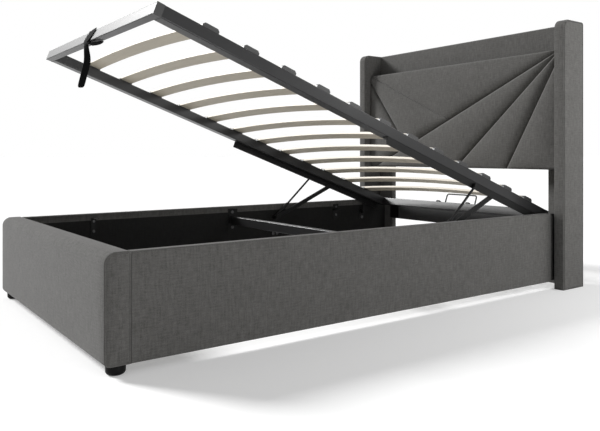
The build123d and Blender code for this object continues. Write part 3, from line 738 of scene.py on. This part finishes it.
low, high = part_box("footboard_cover")
footboard = slab("footboard_padding", low, high)
round_edges(footboard, footboard_front_radius, steps=10, test=long_edge(low.y, high.z))
round_edges(footboard, footboard_back_radius, steps=4, test=long_edge(high.y, high.z))
round_edges(footboard, footboard_bottom_radius, steps=6, test=long_edge(low.y, low.z))
for side in (low.x, high.x):
    outward = (1 if side > 0 else -1, 0, 0)
    round_edges(footboard, footboard_end_radius, steps=4, test=rim(side))
    sew_round(footboard, outward, end_face(side), footboard_seam, footboard_seam)
fine_net(footboard, net_size, axes=(0, 2))
swell(footboard, axis=1, outer=low.y, amount=-footboard_swell)
smooth(footboard, angle=50)
unwrap(footboard)
place_on(footboard, "base", "cover_fabric", "footboard_cover")
print("footboard faces", len(footboard.data.polygons))

# %% [markdown]
# ## The side rails' covers
# A rail's cover is a thin pad outside, turned over the top edge and a little way down inside. One
# slab can't be both pad and thin strip. So the outer pad is a slab with soft corners where it stops
# short of the headboard's wing, and the turned strip is a second slab on top of the board, with a
# lip that is pulled down inside.

# %% Join pieces and tell outside from inside


def joined(name, pieces):
    """Joins several pieces into one object that keeps the first one's place."""
    bpy.ops.object.select_all(action="DESELECT")
    for piece in pieces:
        piece.select_set(True)
    bpy.context.view_layer.objects.active = pieces[0]
    bpy.ops.object.join()
    whole = bpy.context.active_object
    whole.name = name
    return whole


def outer_and_inner(side, low, high):
    """The outer and the inner X of a piece on the left side (-1) or the right side (1)."""
    return (low.x, high.x) if side < 0 else (high.x, low.x)


# %% Rails
rail_pad_length = 1.9024
rail_end_radius, rail_edge_radius, lip_radius = 0.022, 0.007, 0.0015
rail_net_size, rail_swell = 0.05, 0.002
turned_depth = 0.030
strip_setback = 0.012
for side, name in ((-1, "left"), (1, "right")):
    low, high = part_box(f"{name}_rail_cover")
    outer, inner = outer_and_inner(side, low, high)
    board_low, board_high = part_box(f"{name}_side_rail")
    board_outer, board_inner = outer_and_inner(side, board_low, board_high)
    board_top = board_high.z
    pad_end = low.y + rail_pad_length
    outside = slab(
        f"{name}_rail_padding",
        (min(outer, board_outer), low.y, low.z),
        (max(outer, board_outer), pad_end, high.z),
    )
    round_edges(
        outside,
        rail_end_radius,
        steps=8,
        test=lambda a, b: near(a.y, pad_end) and near(b.y, pad_end) and near(a.z, b.z),
    )
    round_edges(
        outside,
        rail_edge_radius,
        steps=5,
        test=lambda a, b: rim(outer)(a, b) and not (near(a.y, low.y) and near(b.y, low.y)),
    )
    fine_net(outside, rail_net_size, axes=(1, 2))
    swell(outside, axis=0, outer=outer, amount=side * rail_swell)
    turned = slab(
        f"{name}_turned_strip",
        (min(board_outer, inner), low.y, board_top),
        (max(board_outer, inner), pad_end - strip_setback, high.z),
    )
    cut(turned, (board_inner, 0, 0), (1, 0, 0))
    pick(turned, "FACE", lambda c, n: n.z < -0.9 and abs(c.x) < abs(board_inner))
    drop = high.z - turned_depth - board_top
    bpy.ops.mesh.extrude_region_move(TRANSFORM_OT_translate={"value": (0, 0, drop)})
    leave()
    round_edges(turned, lip_radius, steps=3, test=lambda a, b: rim(inner)(a, b) and near(a.z, high.z))
    rail = joined(f"{name}_rail_padding", [outside, turned])
    smooth(rail)
    unwrap(rail)
    place_on(rail, "base", "cover_fabric", f"{name}_rail_cover")
    print(rail.name, len(rail.data.polygons))

# %% [markdown]
# ## The lining
# Black cloth is stapled to the inner faces of the box. It is one strip that runs round three sides.
# A long ribbon could be bent at two corners, but stapled cloth lies flat, so three thin slabs that
# meet at the corners show the same. Its flat size is the strip's height and its length round the
# box.

# %% Lining
lining_thickness = 0.002
low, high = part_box("box_lining")
inside_foot = low.y + lining_thickness
strips = [
    slab("lining_foot", (low.x, low.y, low.z), (high.x, inside_foot, high.z)),
    slab("lining_left", (low.x, inside_foot, low.z), (low.x + lining_thickness, high.y, high.z)),
    slab("lining_right", (high.x - lining_thickness, inside_foot, low.z), (high.x, high.y, high.z)),
]
cloth = joined("storage_lining", strips)
unwrap(cloth)
place_on(cloth, "base", "lining_fabric", "box_lining")

# %% [markdown]
# ## The headboard's board and legs
# The board and the two legs under it are boards in a fitted cover, drawn tight, so they hardly
# swell. Each is a slab with its own radius: the board's top is a narrow roll between the wings, and
# only the legs' upright edges are rounded, because their ends stand on the floor and under the
# board.

# %% Board and legs
board_radius, leg_radius = 0.009, 0.004
leg_width = 0.1115
low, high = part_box("headboard_board")
board = slab("headboard_cover", low, high)
round_edges(
    board,
    board_radius,
    steps=5,
    test=lambda a, b: near(a.z, high.z) and near(b.z, high.z) and near(a.y, b.y),
)
smooth(board)
unwrap(board)
place_on(board, "base", "cover_fabric", "headboard_board")

low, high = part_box("headboard_legs")
legs = []
for leg_low, leg_high in ((low.x, low.x + leg_width), (high.x - leg_width, high.x)):
    leg = slab("leg_cover", (leg_low, low.y, low.z), (leg_high, high.y, high.z))
    round_edges(leg, leg_radius, steps=3, test=lambda a, b: near(a.x, b.x) and near(a.y, b.y))
    legs.append(leg)
leg_covers = joined("headboard_leg_covers", legs)
smooth(leg_covers)
unwrap(leg_covers)
place_on(leg_covers, "base", "cover_fabric", "headboard_legs")
print("board and legs", len(board.data.polygons), len(leg_covers.data.polygons))

# %% [markdown]
# ## The wings
# A wing is a narrow padded board that reaches the floor. Its upper front corner is round, its outer
# face has a sewn seam all round, and the edges on the floor stay sharp. It is made as the footboard
# is, with other radii, and its mirror twin comes from the same loop.

# %% Wings
wing_front_radius, wing_back_radius, wing_rim_radius = 0.038, 0.012, 0.004
wing_seam_width, wing_seam_depth = 0.0025, 0.004
wing_swell, wing_swell_reach = 0.0015, 0.06
sharp_below = 0.01
for side, name in ((-1, "left"), (1, "right")):
    low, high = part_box(f"{name}_wing")
    wing = slab(f"{name}_wing_padding", low, high)
    outer, inner = outer_and_inner(side, low, high)
    round_edges(wing, wing_front_radius, steps=12, test=long_edge(low.y, high.z))
    round_edges(wing, wing_back_radius, steps=6, test=long_edge(high.y, high.z))
    for face_x in (outer, inner):
        round_edges(
            wing,
            wing_rim_radius,
            steps=4,
            test=lambda a, b: rim(face_x)(a, b) and max(a.z, b.z) > low.z + sharp_below,
        )
    sew_round(wing, (side, 0, 0), end_face(outer), wing_seam_width, wing_seam_depth)
    fine_net(wing, net_size, axes=(1, 2))
    swell(wing, axis=0, outer=outer, amount=side * wing_swell, reach=wing_swell_reach)
    smooth(wing, angle=50)
    unwrap(wing)
    place_on(wing, "base", "cover_fabric", f"{name}_wing")
    print(wing.name, len(wing.data.polygons))

# %% [markdown]
# ## The sewn pad
# The pad has six panels. Three long seams run down from its upper right corner, and two short ones
# join the longest of them from the left. Each panel is a sheet of cloth that is held along its seams
# while foam pushes it forwards. Its swelling could be a formula, but cloth between slanting seams
# pulls into a shape that no simple formula has. So each panel starts as a flat net between its
# seams, finer towards them, and a cloth simulation blows it up against its held rim. The rise is
# then scaled to the pad's real crown.

# %% Where the seams run
pad_low, pad_high = Vector((-0.645, 0, 0.5215)), Vector((0.645, 0, 1.0565))
pad_back, pad_front = 1.0262, 0.942
long_foot, middle_foot, short_foot, short_head = 0.0336, 0.5217, 0.772, 0.961
upper_share, lower_share, lower_head = 0.483, 0.237, 0.922


def on_long_ray(share):
    """The point of the longest seam at a share of the pad's width, in shares of both sides."""
    return (share, (share - long_foot) / (1 - long_foot))


upper, lower = on_long_ray(upper_share), on_long_ray(lower_share)
panel_sides = {
    "pad_panel_top": ([(0, 1), (upper_share, 1), (1, 1)], [(0, 1), upper, (1, 1)]),
    "pad_panel_upper_left": ([(0, 1), upper], [(0, lower_head), lower]),
    "pad_panel_lower_left": (
        [(0, lower_head), (0, lower[1]), (0, 0)],
        [(0, lower_head), lower, (long_foot, 0)],
    ),
    "pad_panel_middle": ([(1, 1), (long_foot, 0)], [(1, 1), (middle_foot, 0)]),
    "pad_panel_lower_right": ([(1, 1), (middle_foot, 0)], [(1, short_head), (short_foot, 0)]),
    "pad_panel_right": ([(1, short_head), (short_foot, 0)], [(1, short_head), (1, 0)]),
}
pad_size = pad_high - pad_low
print("pad", round(pad_size.x, 3), "by", round(pad_size.z, 3))


def pad_point(share):
    """From shares of the pad's width and height to X and Z in metres."""
    return np.array([pad_low.x + pad_size.x * share[0], pad_low.z + pad_size.z * share[1]])


def on_side(points, share):
    """The place at this share of the way along a side, station by station."""
    steps = [np.linalg.norm(b - a) for a, b in zip(points, points[1:])]
    reached = np.concatenate([[0], np.cumsum(steps)]) / sum(steps)
    return np.array([np.interp(share, reached, [point[axis] for point in points]) for axis in (0, 1)])


# %% A flat net for each panel
net_columns, net_rows = 56, 26
rim_crowding = 0.75
tip_width = 0.02


def crowded(share):
    """Moves even shares towards both ends, where the rim needs more points."""
    even_out = (1 - math.cos(math.pi * share)) / 2
    return share + (even_out - share) * rim_crowding


def panel_net(name, one_side, other_side):
    """A net between two sides of a panel, with its place in its mesh."""
    bpy.ops.object.select_all(action="DESELECT")
    bpy.ops.mesh.primitive_grid_add(x_subdivisions=net_columns, y_subdivisions=net_rows, size=2)
    net = bpy.context.active_object
    net.name = f"{name}_cushion"
    one = [pad_point(share) for share in one_side]
    other = [pad_point(share) for share in other_side]
    first_tip, last_tip = one_side[0] == other_side[0], one_side[-1] == other_side[-1]
    for vertex in net.data.vertices:
        along, across = crowded((vertex.co.x + 1) / 2), crowded((vertex.co.y + 1) / 2)
        start = tip_width if first_tip else 0
        stop = 1 - tip_width if last_tip else 1
        along = start + (stop - start) * along
        place = on_side(one, along) * (1 - across) + on_side(other, along) * across
        vertex.co = (place[0], pad_front, place[1])
    return net


cushions = {name: panel_net(name, *sides) for name, sides in panel_sides.items()}
print("nets", {name: len(net.data.polygons) for name, net in cushions.items()})

# %% Blow the panels up
foam_pressure = 4
last_frame = 20
panel_crown = 0.012
crown_share = 0.1
still = 1e-5


def rim_points(mesh):
    """The points on the open rim, which edges with only one face join."""
    uses = {}
    for face in mesh.polygons:
        for key in face.edge_keys:
            uses[key] = uses.get(key, 0) + 1
    return sorted({index for key, count in uses.items() if count == 1 for index in key})


flat_places = {}
for name, net in cushions.items():
    flat_places[name] = np.array([vertex.co for vertex in net.data.vertices])
    held = net.vertex_groups.new(name="sewn")
    held.add(rim_points(net.data), 1.0, "REPLACE")
    puff = net.modifiers.new("puff", "CLOTH")
    puff.settings.vertex_group_mass = "sewn"
    puff.settings.quality = 6
    puff.settings.use_pressure = True
    puff.settings.uniform_pressure_force = foam_pressure
    puff.settings.effector_weights.gravity = 0
    puff.point_cache.frame_start = 1
    puff.point_cache.frame_end = last_frame
for moment in range(1, last_frame + 1):
    bpy.context.scene.frame_set(moment)
for name, net in cushions.items():
    only(net)
    bpy.ops.object.modifier_apply(modifier="puff")
    net.vertex_groups.clear()
bpy.context.scene.frame_set(1)

for name, net in cushions.items():
    places = np.array([vertex.co for vertex in net.data.vertices])
    rise = np.abs(places[:, 1] - flat_places[name][:, 1])
    width = math.sqrt(sum(face.area for face in net.data.polygons))
    if rise.max() > still:
        rise *= min(panel_crown, crown_share * width) / rise.max()
    places = flat_places[name].copy()
    places[:, 1] -= rise
    flat_places[name] = places
    print(name, "crown", round(float(rise.max()) * 1000, 1), "mm")

# %% [markdown]
# ## The seams between the panels
# At most seams one panel sinks slowly and the other stands up beside it with a tight edge, so a seam
# shows a wide shadow and a thin light line. A bevel would round both sides alike. So each point
# sinks by its distance from the seam, and each side of a seam has its own roll: how far it
# reaches, how deep it sinks, and whether it slants all the way.

# %% Roll the rims
outer_roll = (0.010, 0.010, False)
tight_roll, wide_roll, shallow_roll = (0.011, 0.009, True), (0.045, 0.016, False), (0.010, 0.005, False)
slant_power = 1.3
left_corner, right_corner = 0.034, 0.008
seam_rolls = {
    ((0, 1), upper): {"top": shallow_roll, "upper_left": shallow_roll},
    ((0, lower_head), lower): {"upper_left": tight_roll, "lower_left": wide_roll},
    ((1, 1), (long_foot, 0)): {
        "top": wide_roll,
        "upper_left": wide_roll,
        "lower_left": wide_roll,
        "middle": tight_roll,
    },
    ((1, 1), (middle_foot, 0)): {"middle": wide_roll, "lower_right": tight_roll},
    ((1, short_head), (short_foot, 0)): {"lower_right": wide_roll, "right": tight_roll},
}


def rolled(distance, roll):
    """How far back a rim has rolled at a distance from its edge: round, or slanted all the way."""
    reach, depth, slanted = roll
    share = np.clip(1 - distance / reach, 0, 1)
    return depth * (share**slant_power if slanted else 1 - np.sqrt(1 - share**2))


def from_segment(points, start, end):
    """The distance from each point to a straight seam between two places."""
    along = end - start
    share = np.clip(((points - start) @ along) / (along @ along), 0, 1)
    return np.linalg.norm(points - start - share[:, None] * along, axis=1)


def round_corners(points):
    """Pulls the points of the pad's square corners into quarter circles."""
    for x_side in (0, 1):
        radius = right_corner if x_side else left_corner
        for z_side in (0, 1):
            corner = pad_point((x_side, z_side))
            inwards = np.array([-1 if x_side else 1, -1 if z_side else 1])
            away = (corner + inwards * radius - points) * inwards
            inside = (away > 0).all(axis=1)
            widest, distance = away.max(axis=1), np.linalg.norm(away, axis=1)
            scale = np.divide(widest, distance, out=np.ones_like(widest), where=inside & (distance > 0))
            points = np.where(inside[:, None], corner + inwards * (radius - away * scale[:, None]), points)
    return points


def from_outline(points):
    """The distance from each point to the pad's outline with its rounded corners."""
    middle = (pad_point((0, 0)) + pad_point((1, 1))) / 2
    half = (pad_point((1, 1)) - pad_point((0, 0))) / 2
    radius = np.where(points[:, 0] > middle[0], right_corner, left_corner)[:, None]
    over = np.abs(points - middle) - (half - radius)
    outside = np.linalg.norm(np.maximum(over, 0), axis=1)
    return radius[:, 0] - outside - np.minimum(over.max(axis=1), 0)


# %% Close the panels
for name, net in cushions.items():
    places = flat_places[name]
    plan = round_corners(places[:, (0, 2)])
    back = rolled(from_outline(plan), outer_roll)
    for (start, end), rolls in seam_rolls.items():
        roll = rolls.get(name.removeprefix("pad_panel_"))
        if roll:
            distance = from_segment(plan, pad_point(start), pad_point(end))
            back = np.maximum(back, rolled(distance, roll))
    places = np.column_stack([plan[:, 0], places[:, 1] + back, plan[:, 1]])
    net.data.vertices.foreach_set("co", places.ravel())
    net.data.update()
    only(net)
    finer = net.modifiers.new("finer", "SUBSURF")
    finer.levels = finer.render_levels = 1
    bpy.ops.object.modifier_apply(modifier="finer")
    bpy.ops.object.mode_set(mode="EDIT")
    bpy.ops.mesh.select_mode(type="EDGE")
    bpy.ops.mesh.select_all(action="DESELECT")
    bpy.ops.mesh.select_non_manifold(extend=False, use_boundary=True)
    bpy.ops.mesh.extrude_edges_move()
    leave()
    for vertex in net.data.vertices:
        if vertex.select:
            vertex.co.y = pad_back
    bpy.ops.object.mode_set(mode="EDIT")
    bpy.ops.mesh.edge_face_add()
    bpy.ops.mesh.select_all(action="SELECT")
    bpy.ops.mesh.normals_make_consistent(inside=False)
    leave()
    smooth(net, angle=60)
    unwrap(net)
    place_on(net, "base", "cover_fabric", name)
    print(name, "faces", len(net.data.polygons))

# %% [markdown]
# ## The pull strap
# Black webbing is tied round the middle of the foot tube. It is one flat ribbon: a turn round the
# tube, a knot low on its face with a short end that lies across the face, a slack loop under the
# tube, and a tail that hangs. A simulated knot would be hard to steer, and a curve with a flat
# profile twists on its own. So each stretch is a narrow net that is laid along listed stations,
# given its thickness and smoothed.

# %% Places on the raised frame
frame_corner = (0.95593, 0.29448)
frame_tilt = math.radians(20.5)
tube_end, tube_depth, tube_height = 1.980, 0.0255, 0.040


def on_frame(x, along, up):
    """A point of the raised frame: across it, along it from the head end, and up from below."""
    y = frame_corner[0] - along * math.cos(frame_tilt) + up * math.sin(frame_tilt)
    z = frame_corner[1] + along * math.sin(frame_tilt) + up * math.cos(frame_tilt)
    return Vector((x, y, z))


across = (1, 0, 0)
along_frame = on_frame(0, 1, 0) - on_frame(0, 0, 0)
up_frame = on_frame(0, 0, 1) - on_frame(0, 0, 0)
print("foot tube's lower edge", [round(v, 3) for v in on_frame(0, tube_end, 0)])

# %% Ribbons
strap_width, strap_thickness = 0.025, 0.0018


def ribbon(name, stations):
    """A flat ribbon through stations, each a place, the way its width runs and its width."""
    bpy.ops.object.select_all(action="DESELECT")
    steps = len(stations) - 1
    bpy.ops.mesh.primitive_grid_add(x_subdivisions=steps, y_subdivisions=2, size=2)
    strip = bpy.context.active_object
    strip.name = name
    for vertex in strip.data.vertices:
        place, way, width = stations[round((vertex.co.x + 1) / 2 * steps)]
        vertex.co = Vector(place) + Vector(way).normalized() * (vertex.co.y * width / 2)
    thick = strip.modifiers.new("thick", "SOLIDIFY")
    thick.thickness = strap_thickness
    thick.offset = 0
    soft = strip.modifiers.new("soft", "SUBSURF")
    soft.levels = soft.render_levels = 2
    only(strip)
    bpy.ops.object.modifier_apply(modifier="thick")
    bpy.ops.object.modifier_apply(modifier="soft")
    return strip


# %% The turn round the tube
strap_x = -0.026
strap_gap = 0.0014
turn_corner = 0.003
face, far_side = tube_end + strap_gap, tube_end - tube_depth - strap_gap
below, above = -strap_gap, tube_height + strap_gap
loop = []
for along, up, step_in, step_out in (
    (face, below, (-turn_corner, 0), (0, turn_corner)),
    (face, above, (0, -turn_corner), (-turn_corner, 0)),
    (far_side, above, (turn_corner, 0), (0, -turn_corner)),
    (far_side, below, (0, turn_corner), (turn_corner, 0)),
):
    for step_along, step_up in (step_in, (0, 0), step_out):
        loop.append((on_frame(strap_x, along + step_along, up + step_up), across, strap_width))
loop.append(loop[0])
print("turn", len(loop), "stations")

# %% The knot, its short end and the slack loop


def in_face(right, up):
    """A direction that lies in the foot tube's face."""
    return Vector((right, 0, 0)) + up * up_frame


short_end = [
    (on_frame(0.043, face + 0.0005, 0.044), in_face(0.9, -0.4), 0.004),
    (on_frame(0.030, face + 0.001, 0.038), in_face(0.8, -0.6), 0.022),
    (on_frame(0.011, face + 0.0015, 0.029), in_face(0.65, -0.76), 0.036),
    (on_frame(-0.008, face + 0.0025, 0.018), in_face(0.6, -0.8), 0.042),
    (on_frame(-0.026, face + 0.003, 0.006), in_face(0.6, -0.8), 0.040),
]
bow = [
    (on_frame(-0.035, tube_end - 0.003, -0.002), along_frame, 0.016),
    (on_frame(-0.010, tube_end - 0.008, -0.008), along_frame, 0.024),
    (on_frame(0.020, tube_end - 0.012, -0.009), along_frame, 0.025),
    (on_frame(0.050, tube_end - 0.018, -0.007), along_frame, 0.022),
    (on_frame(0.072, tube_end - 0.022, -0.004), along_frame, 0.013),
    (on_frame(0.085, tube_end - 0.024, -0.002), along_frame, 0.005),
]
knot_band = [
    (on_frame(-0.047, face + 0.001, 0.020), in_face(0.5, 1), 0.026),
    (on_frame(-0.038, face + 0.003, 0.012), in_face(0.7, 1), 0.038),
    (on_frame(-0.024, face + 0.0038, 0.006), in_face(0.8, 1), 0.042),
    (on_frame(-0.010, face + 0.0028, -0.002), in_face(0.8, 1), 0.038),
    (on_frame(0.002, face - 0.003, -0.008), in_face(0.9, 0.8), 0.028),
]

# %% The tail
hang = on_frame(strap_x, face, -0.004)
picture_right = Vector((0.6126, 0.7904, 0))
tail_width = 0.026


def hanging(sideways, fall, way):
    """A station of the tail: how far it hangs to the side and down, and the way of its width."""
    return (hang + sideways * picture_right + Vector((0, 0, -fall)), way, tail_width)


tail = [
    (on_frame(-0.028, face + 0.002, 0.020), across, tail_width),
    (on_frame(-0.027, face + 0.002, 0.006), across, tail_width),
    hanging(0.001, 0, (1, 0.25, 0)),
    hanging(0.001, 0.022, (0.9, 0.5, 0)),
    hanging(0.006, 0.056, picture_right),
    hanging(0.002, 0.082, picture_right),
    hanging(-0.006, 0.108, picture_right),
    hanging(-0.013, 0.136, picture_right),
    hanging(-0.019, 0.160, picture_right),
]
print("tail falls", round(hang.z - tail[-1][0].z, 3))

# %% The whole strap
strap_parts = {"turn": loop, "short_end": short_end, "bow": bow, "knot": knot_band, "tail": tail}
strap = joined("webbing_strap", [ribbon(part_name, part) for part_name, part in strap_parts.items()])
smooth(strap, angle=60)
unwrap(strap)
place_on(strap, "platform", "webbing", "pull_strap")

# %% [markdown]
# ## Sizes
# The dressed bed may stand a little past the frame, where cloth and seams add their thickness. So
# the dressed bed's box is measured and its size printed.

# %% Measure and finish
low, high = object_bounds()
print("visual", [round(v, 3) for v in (high - low)])
